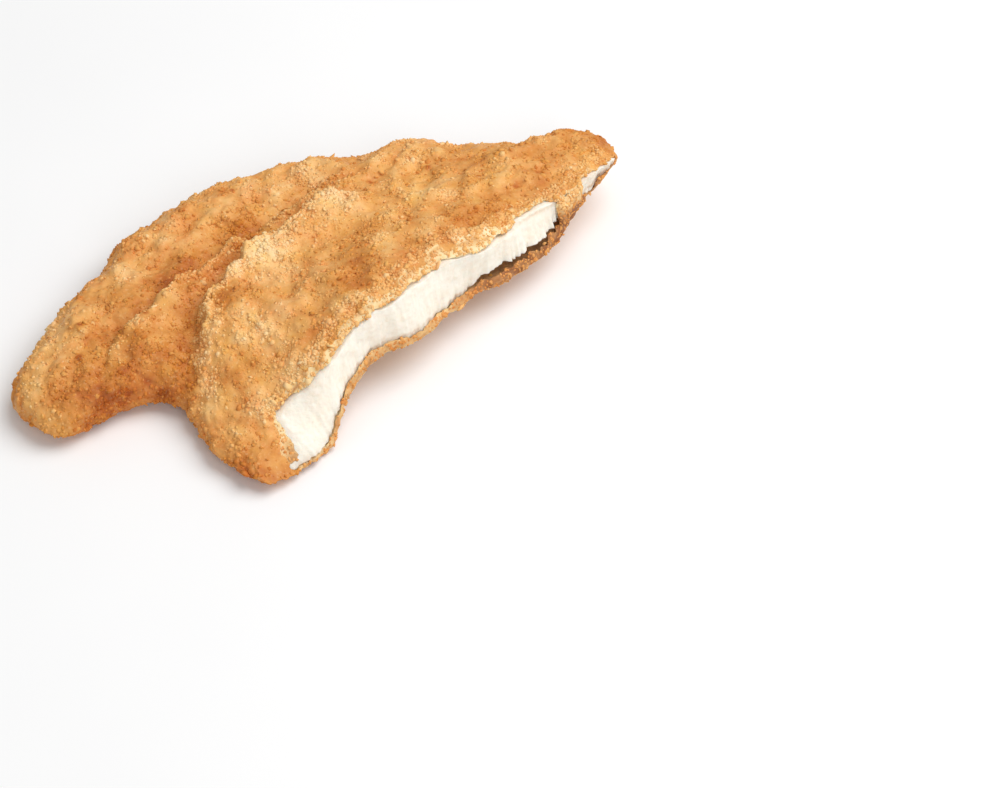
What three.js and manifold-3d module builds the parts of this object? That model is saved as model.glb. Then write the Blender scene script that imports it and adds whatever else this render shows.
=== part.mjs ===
// A breaded and fried chicken schnitzel, cut across: a thin white fillet inside a
// crumb coating that is open along the cut. Millimetres, +Z up. The cut runs from
// the near tip (front) to the far tip (right); the piece rests on its underside and
// arches up towards the cut, as a fried schnitzel does. The origin is on the resting
// plane, under the middle of the whole.
import * as THREE from "three";
import Module from "manifold-3d";

const wasm = await Module();
wasm.setup();

// ---- driving sizes, mm -------------------------------------------------------
const COAT = 1.75; // thickness of the crumb coating
const CLEAR = 0.3; // clearance between the coating and the fillet
const GRID = 28; // cells across a skin
const BACK_TOP = 13.6; // height of the top away from the cut
const ARCH_REACH = 27; // how far in from the cut the underside stays lifted
const CROWN_REACH = 24; // how far in from the cut the top keeps the cut's height
const REST_TRIM = 0.45; // what the lowest spots are flattened by
const TEAR_GAP = 3.3; // height of the air gap between the fillet and the lower crust
const CENTRE = [-8, 14]; // middle of the skins' grid
const CUT_NEAR = [-2, -41]; // the cut's line, near end
const CUT_FAR = [66, 44]; // the cut's line, far end

// Outline of the piece before it was cut, round from the left tip: the place of each
// lobe and hollow, and the height of the rim there. The last third, on the cut's far
// side, is only there to be cut away.
const RIM = [
  [-64.1, -26.9, 4.2], [-64.5, -20.5, 5], [-61, -13, 5.5], [-57.4, -1.9, 5.5], [-49.2, 11.5, 5.5],
  [-46.2, 20.9, 5.5], [-39.6, 27.7, 5.5], [-29.9, 37.8, 5.5], [-17.2, 44.5, 5.5], [-2.3, 50, 6.5],
  [9.2, 50.3, 6.5], [21, 56.7, 7.5], [29.5, 54, 8], [40.4, 53.6, 9], [48.2, 53.1, 10],
  [59.2, 55.8, 11], [64.5, 52.5, 12], [67.2, 46, 13], [71.8, 38, 13], [86, 24, 12], [88, 8, 10],
  [68, -20, 8], [40, -42, 5.5], [16, -49, 4], [0.8, -49.6, 3.4], [-9.3, -48.2, 3.2],
  [-17.1, -43.2, 3.6], [-23, -35.7, 3.8], [-25.7, -29.8, 3.8], [-29, -25.6, 3.8], [-36, -25, 3.8],
  [-45.6, -31, 3.8], [-50, -34.6, 3.6], [-54, -35.2, 3.6], [-59.8, -31.9, 3.8],
];

// Heights of the outer skin along the cut, from the near tip (0) to the far tip (1).
const SECTION = {
  at: [0, 0.067, 0.11, 0.158, 0.22, 0.28, 0.34, 0.46, 0.54, 0.64, 0.76, 0.88, 0.985],
  under: [-1, 0.4, 2.4, 5.2, 7.8, 9, 8.8, 7.9, 7.2, 6.6, 6.8, 8.6, 10.2],
  top: [7.5, 11.3, 14.8, 18, 20.6, 22.3, 23, 22.5, 21.6, 19.7, 17.8, 17.3, 17],
};
// The fillet's edges on the cut: how far in from the cut's line, and how high.
const MEAT_TOP = {
  at: [-0.2, 0.03, 0.067, 0.087, 0.112, 0.158, 0.221, 0.281, 0.339, 0.403, 0.463, 0.51, 0.541, 0.586, 0.642, 0.711, 0.764, 0.806, 0.876, 0.986, 1.2],
  inward: [9, 9, 8.5, 8.2, 6.6, 5.5, 5.7, 4.3, 2.6, 2.8, 2.6, 1.6, -0.6, -1, -0.7, 0.3, -0.6, -1.6, -1, -1, -1],
  height: [7, 8, 9.4, 11.2, 13.6, 16.4, 18.7, 20.6, 21.1, 21.1, 20.6, 20.1, 19.7, 18.7, 17.8, 16.8, 15.9, 15.4, 15.4, 15.4, 15.4],
};
const MEAT_UNDER = {
  at: [-0.2, 0, 0.033, 0.081, 0.112, 0.142, 0.173, 0.212, 0.256, 0.294, 0.325, 0.384, 0.431, 0.483, 0.524, 0.561, 0.597, 0.664, 0.723, 0.769, 0.813, 0.882, 0.988, 1.2],
  inward: [-1.5, -1, -1.6, -1.1, 0.1, 1.7, 2.8, 3.6, 3.9, 2.9, 1.1, -0.1, 0.8, 1.2, 1.2, 0.2, -1.5, -2.2, -2.8, -2.5, -1.3, -0.6, -0.6, -0.6],
  height: [2.3, 2.3, 2.3, 2.8, 4.2, 6.6, 8.4, 9.8, 10.8, 11.2, 11.2, 10.8, 10.3, 9.8, 9.8, 9.8, 9.8, 9.8, 10.1, 10.3, 10.8, 11.2, 12.6, 12.6],
};
// The coating's broken edges: the upper one is set back, the lower one reaches past the fillet.
const SETBACK = { at: [-0.2, 0.05, 0.1, 0.18, 0.28, 0.36, 0.45, 0.51, 0.56, 0.6, 0.66, 0.8, 0.88, 1.2], by: [0.6, 0.9, 2, 3.2, 3.6, 3.8, 4.4, 6, 6, 3.6, 2.4, 0.8, 1.6, 1.6] };
const REACH = { at: [-0.2, 0.05, 0.12, 0.3, 0.45, 0.52, 0.58, 0.7, 0.82, 0.9, 1.2], by: [0.6, 0.6, 0.9, 0.9, 1, 1.6, 1.1, 1, 1, 0.6, 0.6] };
const WEB = { from: 0.793, to: 0.873, cover: 1.9 }; // a web of crust left over the fillet near the far tip

// Two folds of the fillet, in a frame turned 45 degrees: p along it, q across it.
const FOLDS = [
  { p: [-38, -34.3, -24.7, -18.5, -11.7, -4.9, 2.1, 10.8, 19.9, 26, 31, 36], q: [2, 0.3, -10, -14, -15, -17.5, -19, -18.6, -19.5, -17.1, -10, -3], rise: 2.3, drop: 2, before: 15, behind: 9, fadeIn: [-38, -24], fadeOut: [14, 32], left: 0.2 },
  { p: [-48.4, -38.9, -29, -19.8, -12, -2.8, 8.5, 21.2, 36], q: [-12, -20.5, -21.9, -24, -23.6, -25.2, -24.2, -25.4, -24.7], rise: 1.2, drop: 1.2, before: 7, behind: 6, fadeIn: [-50, -41], fadeOut: [20, 37], left: 0 },
];
// Swells and hollows of the top: x, y, half-length, half-width, bearing, height.
const SWELLS = [
  [-17, -12, 8, 6, 0, 1.2], [-10, 12, 7, 4.5, 50, 1], [4, 24, 9, 5, 20, 1.6], [-13.5, -5.5, 4.5, 3.5, 20, 1.2], [-10, -1, 3.5, 3, 0, -1.2],
  [-52, -8, 9, 6, 60, 1.3], [-36, -16, 6, 5, 0, 1], [-28, 0, 6, 5, 40, 1.4], [-43, 18, 5, 4, 0, 1.2], [-33, 24, 9, 3.5, 45, 1.3],
  [-37, 10, 9, 3, 35, -1.6], [-24, 31, 7, 4, 40, 1], [-2, 44, 12, 4, 5, 1.2], [22, 46, 9, 6, 0, 1.2], [26, 33, 7, 5, 30, 0.8],
  [24, 36, 5, 3, 100, -1.3], [46, 44, 9, 5, 10, 0.8], [38, 30, 9, 4, 50, 0.8], [-45, -8, 3.5, 9, 10, -1.1], [-42, -22, 4, 7, 0, -1.3],
  [-15, -34, 8, 7, 0, 0.8], [10, 2, 10, 6, 45, 0.6], [2, 10, 12, 4, 48, -0.7],
];
// Small waves of the crust: length, bearing, phase, height.
const WAVES = [[13.1, 20, 0.4, 0.22], [10.3, 77, 2.1, 0.2], [9.1, 128, 4, 0.2], [7.7, 163, 1.2, 0.16], [6.6, 48, 5.1, 0.15], [5.9, 101, 3.3, 0.14], [7.1, -8, 2.6, 0.15]];

// ---- small helpers --------------------------------------------------------------
const rad = (a) => (a * Math.PI) / 180;
const step = (a, b, x) => THREE.MathUtils.smoothstep(x, a, b);
const bell = (x) => Math.exp(-x * x);
function linear(at, v, x) {
  if (x <= at[0]) return v[0];
  for (let i = 1; i < at.length; i++)
    if (x <= at[i]) return v[i - 1] + ((v[i] - v[i - 1]) * (x - at[i - 1])) / (at[i] - at[i - 1]);
  return v[v.length - 1];
}
// A table rounded off by a bell of width w.
const rounded = (at, v, w) => {
  const lo = at[0] - 3 * w, hi = at[at.length - 1] + 3 * w;
  const pace = Math.max(w / 3, (hi - lo) / 160);
  const f = [], g = [];
  for (let t = lo; t < hi + pace; t += pace) f.push(t), g.push(linear(at, v, t));
  return (x) => {
    const c = Math.min(Math.max(x, lo + 2 * w), hi - 2 * w);
    let num = 0, den = 0;
    for (let i = 0; i < f.length; i++) {
      const k = bell((c - f[i]) / w);
      num += k * g[i];
      den += k;
    }
    return num / den;
  };
};
const cut = new THREE.Vector2(CUT_FAR[0] - CUT_NEAR[0], CUT_FAR[1] - CUT_NEAR[1]);
const CUT_LENGTH = cut.length();
cut.normalize();
const inwards = new THREE.Vector2(-cut.y, cut.x);
// Place along the cut (0..1) and distance in from it.
function fromCut(x, y) {
  const rx = x - CUT_NEAR[0], ry = y - CUT_NEAR[1];
  return [(rx * cut.x + ry * cut.y) / CUT_LENGTH, rx * inwards.x + ry * inwards.y];
}

// ---- the two skins as height fields -----------------------------------------------
const topAt = rounded(SECTION.at, SECTION.top, 0.045);
const underAt = rounded(SECTION.at, SECTION.under, 0.045);
for (const f of FOLDS) f.line = rounded(f.p, f.q, 3);
function waves(x, y, ox = 0, oy = 0) {
  const wx = x + ox + 1.6 * Math.sin(y / 6.3 + 1) + 0.9 * Math.sin((x - y) / 4.1);
  const wy = y + oy + 1.6 * Math.sin(x / 5.7 + 2.2) + 0.9 * Math.sin((x + y) / 4.7 + 0.7);
  let z = 0;
  for (const [length, bearing, phase, height] of WAVES)
    z += height * Math.sin((2 * Math.PI * (wx * Math.cos(rad(bearing)) + wy * Math.sin(rad(bearing)))) / length + phase);
  return z;
}
function fold(f, x, y) {
  const p = (x + y) * Math.SQRT1_2, q = (x - y) * Math.SQRT1_2;
  const at = f.line(p), slope = (f.line(p + 1.5) - at) / 1.5;
  const d = (q - at) / Math.sqrt(1 + slope * slope);
  const ends = step(...f.fadeIn, p) * (1 - (1 - f.left) * step(...f.fadeOut, p));
  const rise = f.rise * step(-2, 2.5, d) * Math.exp(-Math.pow(Math.max(d, 0) / f.before, 1.5));
  const drop = f.drop * (1 - step(-2.7, 1.3, d)) * Math.exp(-Math.pow(Math.max(-d, 0) / f.behind, 1.5));
  return ends * (rise - drop);
}
function swell([cx, cy, a, b, bearing, height], x, y) {
  const c = Math.cos(rad(bearing)), s = Math.sin(rad(bearing));
  const u = (x - cx) * c + (y - cy) * s, v = -(x - cx) * s + (y - cy) * c;
  return height * Math.exp(-((u / a) ** 2) - (v / b) ** 2);
}
function topZ(x, y) {
  const [s, d] = fromCut(x, y);
  let z = BACK_TOP + (topAt(s) - BACK_TOP) * bell(Math.max(d - 4, 0) / CROWN_REACH);
  for (const f of FOLDS) z += fold(f, x, y);
  for (const b of SWELLS) z += swell(b, x, y);
  return z + waves(x, y);
}
function underZ(x, y) {
  const [s, d] = fromCut(x, y);
  return underAt(s) * bell(Math.max(d, 0) / ARCH_REACH) + swell([-30, 5, 22, 20, 0, 0.9], x, y) - REST_TRIM + 0.8 * waves(x, y, 40, 17);
}
// Where the fillet has shrunk away from the lower crust, along the cut.
function tear(x, y) {
  const [s, d] = fromCut(x, y);
  return TEAR_GAP * step(0.5, 0.6, s) * (1 - step(0.83, 0.88, s)) * bell(Math.max(d + 1, 0) / 7);
}

// ---- the rim ------------------------------------------------------------------------
const RIM_STEPS = 1440;
const rim = new THREE.CatmullRomCurve3(RIM.map((p) => new THREE.Vector3(...p)), true, "centripetal");
rim.arcLengthDivisions = 1200;
const rimPoints = rim.getSpacedPoints(RIM_STEPS).slice(0, RIM_STEPS);
// The rim moved in by a distance, along its own normal, seen from above.
function insetRim(by) {
  return rimPoints.map((p, i) => {
    const a = rimPoints[(i + RIM_STEPS - 1) % RIM_STEPS], b = rimPoints[(i + 1) % RIM_STEPS];
    const t = new THREE.Vector2(b.x - a.x, b.y - a.y).normalize();
    return new THREE.Vector3(p.x + t.y * by, p.y - t.x * by, p.z); // the outline runs clockwise
  });
}

// ---- a closed pillow: a square grid wrapped to the rim, once for the top and once for the underside --------
function pillow(inset, shrink = 0) {
  const ring = insetRim(inset), half = GRID / 2, row = GRID + 1;
  const at = (t) => {
    const x = (((t % 1) + 1) % 1) * RIM_STEPS, i = Math.floor(x);
    return ring[i % RIM_STEPS].clone().lerp(ring[(i + 1) % RIM_STEPS], x - i);
  };
  const xyz = [], topId = [], underId = [];
  for (let gi = 0; gi < row; gi++)
    for (let gj = 0; gj < row; gj++) {
      const I = gi - half, J = gj - half, R = Math.max(Math.abs(I), Math.abs(J));
      let t = 0; // place round the ring of cells, from 0 to 8R
      if (R > 0) {
        if (I === R && J > -R) t = J + R;
        else if (J === R && I < R) t = 3 * R - I;
        else if (I === -R && J < R) t = 5 * R - J;
        else t = 7 * R + I;
        t /= 8 * R;
      }
      const r = 1 - Math.pow(1 - R / half, 1.35), p = at(t);
      const x = CENTRE[0] + (p.x - CENTRE[0]) * r, y = CENTRE[1] + (p.y - CENTRE[1]) * r;
      topId.push(xyz.length);
      if (R === half) {
        underId.push(xyz.length);
        xyz.push([x, y, p.z]);
        continue;
      }
      const low = Math.max(underZ(x, y), 0) + inset + (shrink ? tear(x, y) : 0);
      xyz.push([x, y, p.z + (topZ(x, y) - inset - p.z) * Math.sqrt(1 - r ** 5)]);
      underId.push(xyz.length);
      xyz.push([x, y, Math.max(p.z + (low - p.z) * Math.pow(1 - r ** 6, 0.55) - REST_TRIM, inset)]);
    }
  const faces = [];
  for (let i = 0; i < GRID; i++)
    for (let j = 0; j < GRID; j++) {
      const a = i * row + j, b = a + row, c = b + 1, d = a + 1;
      const same = (i - half + 0.5) * (j - half + 0.5) > 0;
      for (const tri of same ? [[a, c, b], [a, d, c]] : [[a, d, b], [b, d, c]]) {
        faces.push(tri.map((k) => topId[k]));
        faces.push(tri.map((k) => underId[k]).reverse());
      }
    }
  if (shrink) {
    // every corner moves in along the mean of its faces' normals
    const points = xyz.map((p) => new THREE.Vector3(...p)), normals = xyz.map(() => new THREE.Vector3());
    for (const [a, b, c] of faces) {
      const n = points[b].clone().sub(points[a]).cross(points[c].clone().sub(points[a]));
      for (const k of [a, b, c]) normals[k].add(n);
    }
    points.forEach((p, i) => (xyz[i] = p.addScaledVector(normals[i].normalize(), -shrink).toArray()));
  }
  return solid(xyz, faces);
}

// ---- the cut: a bevelled, wandering wall with the kept side filled in behind it ------------------------------
const STATIONS = 56;
function keptSide(rows) {
  const xyz = [], faces = [], n = STATIONS + 1, m = rows(0).length;
  for (const far of [false, true])
    for (let r = 0; r < m; r++)
      for (let i = 0; i < n; i++) {
        const s = -0.3 + (1.6 * i) / STATIONS, [d, z] = rows(s)[r];
        const w = far ? 160 : d;
        xyz.push([CUT_NEAR[0] + s * CUT_LENGTH * cut.x + w * inwards.x, CUT_NEAR[1] + s * CUT_LENGTH * cut.y + w * inwards.y, z]);
      }
  const A = (r, i) => r * n + i, B = (r, i) => (m + r) * n + i;
  const quad = (a, b, c, d) => faces.push([a, b, c], [a, c, d]);
  for (let r = 0; r < m - 1; r++)
    for (let i = 0; i < n - 1; i++) {
      quad(A(r, i), A(r, i + 1), A(r + 1, i + 1), A(r + 1, i));
      quad(B(r, i), B(r + 1, i), B(r + 1, i + 1), B(r, i + 1));
    }
  for (let i = 0; i < n - 1; i++) {
    quad(A(0, i), B(0, i), B(0, i + 1), A(0, i + 1));
    quad(A(m - 1, i), A(m - 1, i + 1), B(m - 1, i + 1), B(m - 1, i));
  }
  for (let r = 0; r < m - 1; r++) {
    quad(A(r, 0), A(r + 1, 0), B(r + 1, 0), B(r, 0));
    quad(A(r, n - 1), B(r, n - 1), B(r + 1, n - 1), A(r + 1, n - 1));
  }
  return solid(xyz, faces);
}
const mt = [rounded(MEAT_TOP.at, MEAT_TOP.inward, 0.012), rounded(MEAT_TOP.at, MEAT_TOP.height, 0.012)];
const mu = [rounded(MEAT_UNDER.at, MEAT_UNDER.inward, 0.012), rounded(MEAT_UNDER.at, MEAT_UNDER.height, 0.012)];
const back = rounded(SETBACK.at, SETBACK.by, 0.02), reach = rounded(REACH.at, REACH.by, 0.02);
const meatWall = (out) => (s) => {
  // the crust closes over the fillet's near end, further along at the top
  const closedTop = 7 * (1 - step(-0.005, 0.03, s)), closedUnder = 7 * (1 - step(-0.05, -0.02, s));
  const dt = mt[0](s) - out + closedTop, zt = mt[1](s), du = mu[0](s) - out + closedUnder, zu = mu[1](s);
  return [[du, -30], [du, zu], [(du + dt) / 2, (zu + zt) / 2], [dt, zt], [dt, 60]];
};
const coatWall = (s) => {
  const dt = mt[0](s), zt = mt[1](s), du = mu[0](s), zu = mu[1](s);
  const web = WEB.cover * step(WEB.from - 0.01, WEB.from + 0.01, s) * (1 - step(WEB.to - 0.01, WEB.to + 0.01, s));
  return [
    [du - reach(s), -30], [du - reach(s), zu - 1], [du + 0.6 - 1.2 * web, zu + 0.1], [(du + dt) / 2 + 0.4 - web, (zu + zt) / 2],
    [dt + 0.5 - web, zt], [dt + 0.5 + back(s), zt + COAT + CLEAR], [dt + 0.5 + back(s), 60],
  ];
};

// ---- solids -------------------------------------------------------------------------------------------------
function solid(xyz, faces) {
  return new wasm.Manifold(
    new wasm.Mesh({ numProp: 3, vertProperties: new Float32Array(xyz.flat()), triVerts: new Uint32Array(faces.flat()) }),
  );
}
const largest = (body) => body.decompose().reduce((a, b) => (a.volume() > b.volume() ? a : b));
const fillet = largest(pillow(COAT, CLEAR).intersect(keptSide(meatWall(0))));
const hollow = pillow(COAT).intersect(keptSide(meatWall(CLEAR)));
const coating = largest(pillow(0).intersect(keptSide(coatWall)).subtract(hollow));

// The origin goes under the middle of the whole, on the resting plane.
const box = coating.boundingBox();
const place = [-(box.min[0] + box.max[0]) / 2, -(box.min[1] + box.max[1]) / 2, -box.min[2]];

function mesh(name, body, color, roughness) {
  const { vertProperties, triVerts, numProp } = body.translate(place).getMesh();
  const geometry = new THREE.BufferGeometry();
  const position = new Float32Array((vertProperties.length / numProp) * 3);
  for (let i = 0; i < position.length / 3; i++)
    for (let k = 0; k < 3; k++) position[3 * i + k] = vertProperties[numProp * i + k];
  geometry.setAttribute("position", new THREE.BufferAttribute(position, 3));
  geometry.setIndex(new THREE.BufferAttribute(new Uint32Array(triVerts), 1));
  geometry.computeVertexNormals();
  const made = new THREE.Mesh(geometry, new THREE.MeshStandardMaterial({ color, roughness, metalness: 0, flatShading: true }));
  made.name = name;
  return made;
}

const schnitzel = new THREE.Group();
schnitzel.name = "schnitzel";
schnitzel.add(mesh("coating", coating, 0xc98a4b, 0.85), mesh("meat", fillet, 0xf4ece0, 0.6));

export default schnitzel;
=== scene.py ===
import math

import bpy
import numpy as np
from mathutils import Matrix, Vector


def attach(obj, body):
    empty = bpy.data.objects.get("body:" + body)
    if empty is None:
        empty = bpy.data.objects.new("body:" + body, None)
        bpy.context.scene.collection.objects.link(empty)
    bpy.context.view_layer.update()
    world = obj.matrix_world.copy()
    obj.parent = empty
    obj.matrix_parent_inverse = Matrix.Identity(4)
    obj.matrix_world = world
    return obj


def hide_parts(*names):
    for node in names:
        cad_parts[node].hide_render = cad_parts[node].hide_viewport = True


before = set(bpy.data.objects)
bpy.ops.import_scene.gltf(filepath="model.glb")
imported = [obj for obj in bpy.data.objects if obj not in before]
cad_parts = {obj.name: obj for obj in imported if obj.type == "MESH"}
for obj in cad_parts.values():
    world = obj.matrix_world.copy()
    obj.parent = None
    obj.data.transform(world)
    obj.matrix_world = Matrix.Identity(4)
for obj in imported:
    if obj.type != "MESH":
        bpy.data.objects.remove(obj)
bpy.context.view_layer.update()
MM = 0.001

# ------------------------------------------------------------------ named sizes, mm
COAT = 1.75  # crumb coating
CLEAR = 0.3  # between coating and fillet
BACK_TOP = 13.6
ARCH_REACH = 27.0
CROWN_REACH = 24.0
REST_TRIM = 0.45
TEAR_GAP = 3.3
CENTRE = np.array([-8.0, 14.0])
CUT_NEAR = np.array([-2.0, -41.0])
CUT_FAR = np.array([66.0, 44.0])
PLACE = np.array([-1.336, -4.221, 0.0])  # the model's own frame to the part's frame
SKIN_GRID = 236
CRUMB_SHARE = 1.0

RIM = np.array([
    (-64.1, -26.9, 4.2), (-64.5, -20.5, 5), (-61, -13, 5.5), (-57.4, -1.9, 5.5), (-49.2, 11.5, 5.5),
    (-46.2, 20.9, 5.5), (-39.6, 27.7, 5.5), (-29.9, 37.8, 5.5), (-17.2, 44.5, 5.5), (-2.3, 50, 6.5),
    (9.2, 50.3, 6.5), (21, 56.7, 7.5), (29.5, 54, 8), (40.4, 53.6, 9), (48.2, 53.1, 10),
    (59.2, 55.8, 11), (64.5, 52.5, 12), (67.2, 46, 13), (71.8, 38, 13), (86, 24, 12), (88, 8, 10),
    (68, -20, 8), (40, -42, 5.5), (16, -49, 4), (0.8, -49.6, 3.4), (-9.3, -48.2, 3.2),
    (-17.1, -43.2, 3.6), (-23, -35.7, 3.8), (-25.7, -29.8, 3.8), (-29, -25.6, 3.8), (-36, -25, 3.8),
    (-45.6, -31, 3.8), (-50, -34.6, 3.6), (-54, -35.2, 3.6), (-59.8, -31.9, 3.8)], float)
S_AT = [0, 0.067, 0.11, 0.158, 0.22, 0.28, 0.34, 0.46, 0.54, 0.64, 0.76, 0.88, 0.985]
S_UNDER = [-1, 0.4, 2.4, 5.2, 7.8, 9, 8.8, 7.9, 7.2, 6.6, 6.8, 8.6, 10.2]
S_TOP = [7.5, 11.3, 14.8, 18, 20.6, 22.3, 23, 22.5, 21.6, 19.7, 17.8, 17.3, 17]
MT_AT = [-0.2, 0.03, 0.067, 0.087, 0.112, 0.158, 0.221, 0.281, 0.339, 0.403, 0.463, 0.51, 0.541, 0.586, 0.642, 0.711, 0.764, 0.806, 0.876, 0.986, 1.2]
MT_IN = [9, 9, 8.5, 8.2, 6.6, 5.5, 5.7, 4.3, 2.6, 2.8, 2.6, 1.6, -0.6, -1, -0.7, 0.3, -0.6, -1.6, -1, -1, -1]
MT_UP = [7, 8, 9.4, 11.2, 13.6, 16.4, 18.7, 20.6, 21.1, 21.1, 20.6, 20.1, 19.7, 18.7, 17.8, 16.8, 15.9, 15.4, 15.4, 15.4, 15.4]
MU_AT = [-0.2, 0, 0.033, 0.081, 0.112, 0.142, 0.173, 0.212, 0.256, 0.294, 0.325, 0.384, 0.431, 0.483, 0.524, 0.561, 0.597, 0.664, 0.723, 0.769, 0.813, 0.882, 0.988, 1.2]
MU_IN = [-1.5, -1, -1.6, -1.1, 0.1, 1.7, 2.8, 3.6, 3.9, 2.9, 1.1, -0.1, 0.8, 1.2, 1.2, 0.2, -1.5, -2.2, -2.8, -2.5, -1.3, -0.6, -0.6, -0.6]
MU_UP = [2.3, 2.3, 2.3, 2.8, 4.2, 6.6, 8.4, 9.8, 10.8, 11.2, 11.2, 10.8, 10.3, 9.8, 9.8, 9.8, 9.8, 9.8, 10.1, 10.3, 10.8, 11.2, 12.6, 12.6]
K_AT = [-0.2, 0.05, 0.1, 0.18, 0.28, 0.36, 0.45, 0.51, 0.56, 0.6, 0.66, 0.8, 0.88, 1.2]
K_BY = [0.6, 0.9, 2.0, 3.2, 3.6, 3.8, 4.4, 6.0, 6.0, 3.6, 2.4, 1.4, 2.0, 2.0]
E_AT = [-0.2, 0.05, 0.12, 0.3, 0.45, 0.52, 0.58, 0.7, 0.82, 0.9, 1.2]
E_BY = [0.8, 0.8, 1.2, 1.2, 1.4, 2.2, 1.5, 1.3, 1.3, 0.8, 0.7]
FOLDS = [
    dict(p=[-38, -34.3, -24.7, -18.5, -11.7, -4.9, 2.1, 10.8, 19.9, 26, 31, 36], q=[2, 0.3, -10, -14, -15, -17.5, -19, -18.6, -19.5, -17.1, -10, -3],
         rise=2.3, drop=2.0, before=15.0, behind=9.0, fade=(-38, -24, 14, 32), left=0.2),
    dict(p=[-48.4, -38.9, -29, -19.8, -12, -2.8, 8.5, 21.2, 36], q=[-12, -20.5, -21.9, -24, -23.6, -25.2, -24.2, -25.4, -24.7],
         rise=1.2, drop=1.2, before=7.0, behind=6.0, fade=(-50, -41, 20, 37), left=0.0),
]
SWELLS = [
    (-17, -12, 8, 6, 0, 1.2), (-10, 12, 7, 4.5, 50, 1), (4, 24, 9, 5, 20, 1.6), (-13.5, -5.5, 4.5, 3.5, 20, 1.2), (-10, -1, 3.5, 3, 0, -1.2),
    (-52, -8, 9, 6, 60, 1.3), (-36, -16, 6, 5, 0, 1), (-28, 0, 6, 5, 40, 1.4), (-43, 18, 5, 4, 0, 1.2), (-33, 24, 9, 3.5, 45, 1.3),
    (-37, 10, 9, 3, 35, -1.6), (-24, 31, 7, 4, 40, 1), (-2, 44, 12, 4, 5, 1.2), (22, 46, 9, 6, 0, 1.2), (26, 33, 7, 5, 30, 0.8),
    (24, 36, 5, 3, 100, -1.3), (46, 44, 9, 5, 10, 0.8), (38, 30, 9, 4, 50, 0.8), (-45, -8, 3.5, 9, 10, -1.1), (-42, -22, 4, 7, 0, -1.3),
    (-15, -34, 8, 7, 0, 0.8), (10, 2, 10, 6, 45, 0.6), (2, 10, 12, 4, 48, -0.7)]
WAVES = [(13.1, 20, 0.4, 0.22), (10.3, 77, 2.1, 0.2), (9.1, 128, 4, 0.2), (7.7, 163, 1.2, 0.16), (6.6, 48, 5.1, 0.15), (5.9, 101, 3.3, 0.14), (7.1, -8, 2.6, 0.15)]


# ------------------------------------------------------------------ number helpers
def step(a, b, x):
    t = np.clip((x - a) / (b - a), 0, 1)
    return t * t * (3 - 2 * t)


def bell(x):
    return np.exp(-np.square(x))


def rounded(at, v, w):
    lo, hi = at[0] - 3 * w, at[-1] + 3 * w
    f = np.linspace(lo, hi, 700)
    g = np.interp(f, at, v)
    k = bell((f[:, None] - f[None, :]) / w)
    s = (k * g[None, :]).sum(1) / k.sum(1)
    ok = (f > lo + 2 * w) & (f < hi - 2 * w)
    f, s = f[ok], s[ok]
    return lambda x: np.interp(x, f, s)


def _hash(ix, iy, iz, seed):
    h = (ix * 374761393 + iy * 668265263 + iz * 1440662683 + seed * 974634777) & 0xFFFFFFFF
    h = ((h ^ (h >> 13)) * 1274126177) & 0xFFFFFFFF
    h = ((h ^ (h >> 15)) * 2246822519) & 0xFFFFFFFF
    return (h ^ (h >> 16)) & 0xFFFFFFFF


def noise(p, size, seed=0):
    """Smooth gradient noise in -1..1 with features of about that size (mm)."""
    q = np.asarray(p, float) / size + 17.31 * (seed + 1)
    i = np.floor(q).astype(np.int64)
    f = q - i
    u = f * f * f * (f * (f * 6 - 15) + 10)
    out = 0.0
    for dx in (0, 1):
        for dy in (0, 1):
            for dz in (0, 1):
                h = _hash(i[:, 0] + dx, i[:, 1] + dy, i[:, 2] + dz, seed)
                gx = (h & 1023) / 511.5 - 1
                gy = ((h >> 10) & 1023) / 511.5 - 1
                gz = ((h >> 20) & 1023) / 511.5 - 1
                d = gx * (f[:, 0] - dx) + gy * (f[:, 1] - dy) + gz * (f[:, 2] - dz)
                w = (u[:, 0] if dx else 1 - u[:, 0]) * (u[:, 1] if dy else 1 - u[:, 1]) * (u[:, 2] if dz else 1 - u[:, 2])
                out = out + d * w
    return out * 1.25


# ------------------------------------------------------------------ the macro form
CUT = CUT_FAR - CUT_NEAR
CUT_LENGTH = float(np.hypot(*CUT))
CUT = CUT / CUT_LENGTH
INWARDS = np.array([-CUT[1], CUT[0]])
top_at, under_at = rounded(S_AT, S_TOP, 0.045), rounded(S_AT, S_UNDER, 0.045)
for _f in FOLDS:
    _f["line"] = rounded(_f["p"], _f["q"], 3.0)


def from_cut(x, y):
    rx, ry = x - CUT_NEAR[0], y - CUT_NEAR[1]
    return (rx * CUT[0] + ry * CUT[1]) / CUT_LENGTH, rx * INWARDS[0] + ry * INWARDS[1]


def waves(x, y, ox=0.0, oy=0.0):
    wx = x + ox + 1.6 * np.sin(y / 6.3 + 1) + 0.9 * np.sin((x - y) / 4.1)
    wy = y + oy + 1.6 * np.sin(x / 5.7 + 2.2) + 0.9 * np.sin((x + y) / 4.7 + 0.7)
    z = 0.0
    for length, bearing, phase, height in WAVES:
        a = math.radians(bearing)
        z = z + height * np.sin(2 * math.pi * (wx * math.cos(a) + wy * math.sin(a)) / length + phase)
    return z


def fold_distance(f, x, y):
    p, q = (x + y) * math.sqrt(0.5), (x - y) * math.sqrt(0.5)
    at = f["line"](p)
    slope = (f["line"](p + 1.5) - at) / 1.5
    ragged = np.column_stack([x, y, 0 * x])
    ragged = 1.5 * noise(ragged, 7.5, 12) + 0.8 * noise(ragged, 3.4, 13)
    return (q - at) / np.sqrt(1 + slope * slope) + ragged, p


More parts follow.
